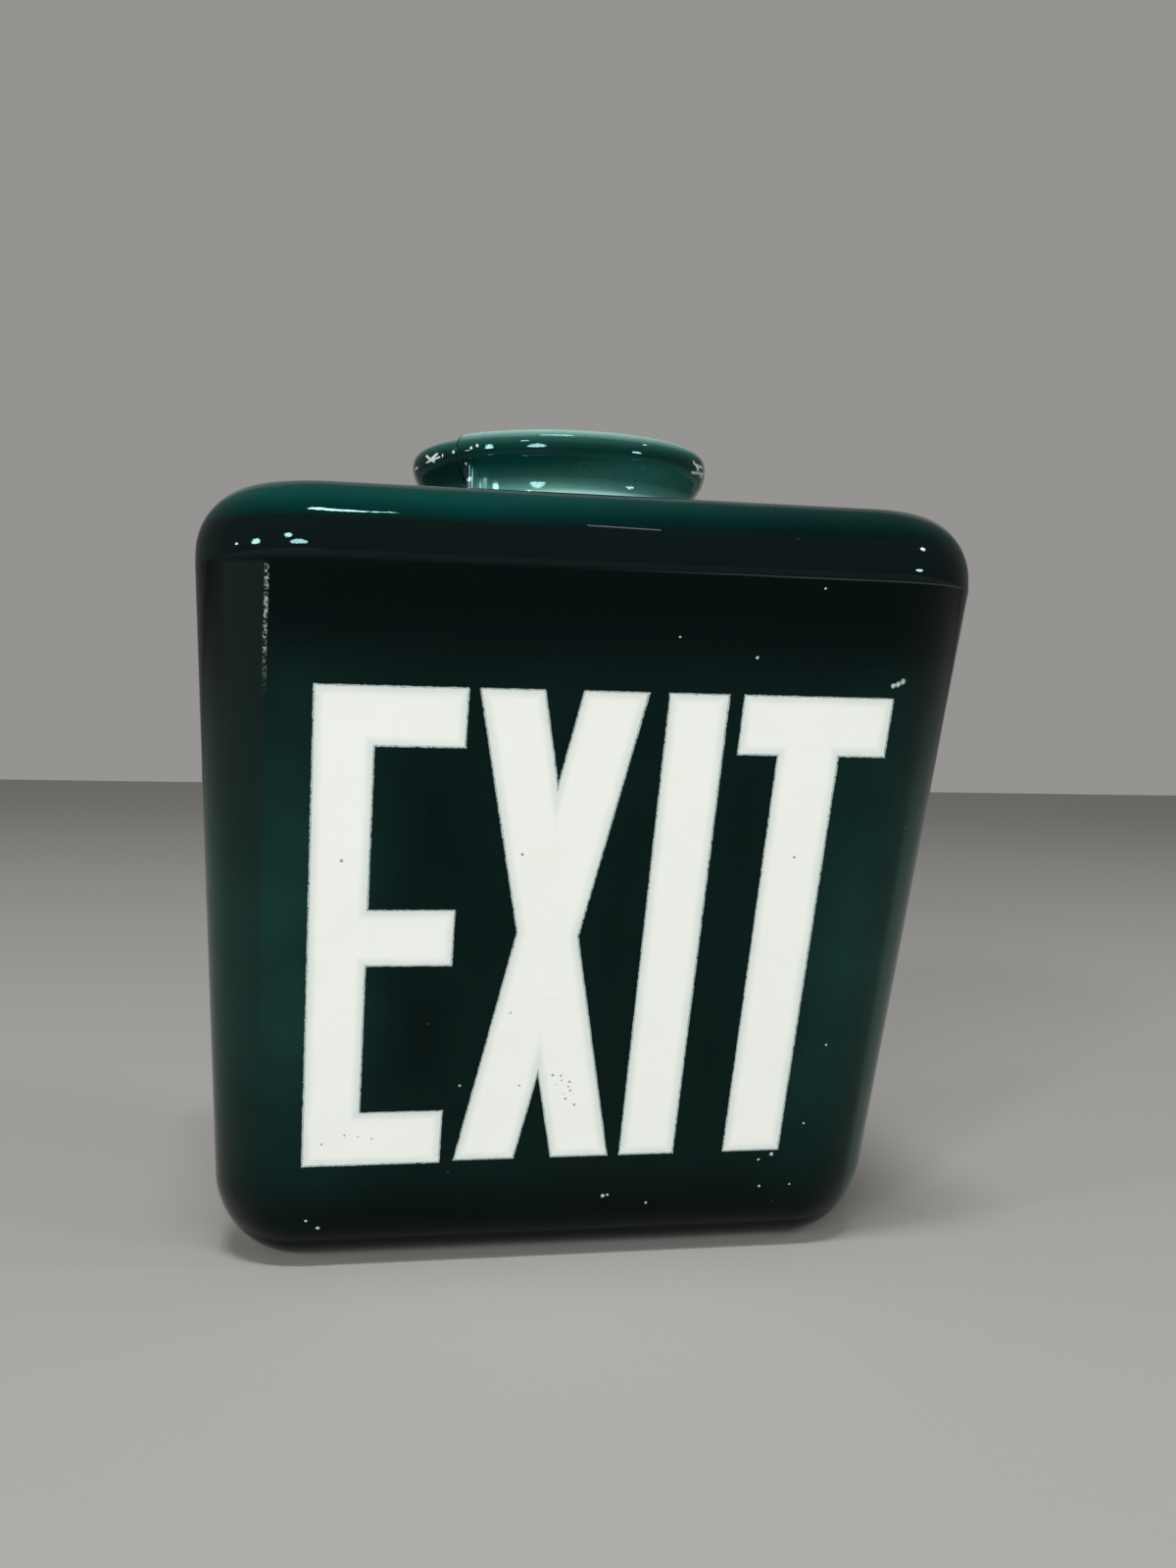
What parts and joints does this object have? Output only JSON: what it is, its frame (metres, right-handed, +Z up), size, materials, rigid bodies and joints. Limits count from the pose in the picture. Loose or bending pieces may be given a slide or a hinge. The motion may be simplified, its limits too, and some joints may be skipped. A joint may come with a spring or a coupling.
{
  "type": "exit light globe",
  "caption": "Hollow wedge-shaped glass globe for an exit light, with flat sign faces, a rounded foot and a short neck whose rolled rim hangs in a shade holder.",
  "frame": {"origin": "on the neck's axis, at mid-height of the straight land round the rim", "axes": "+Z up along the neck's axis, out of its mouth; the front sign face looks towards -Y; width along X"},
  "size_m": [0.233, 0.201, 0.2664],
  "materials": {
    "green_glass": "gloss"
  },
  "bodies": {
    "root": {"glass_globe": "green_glass"}
  },
  "joints": []
}
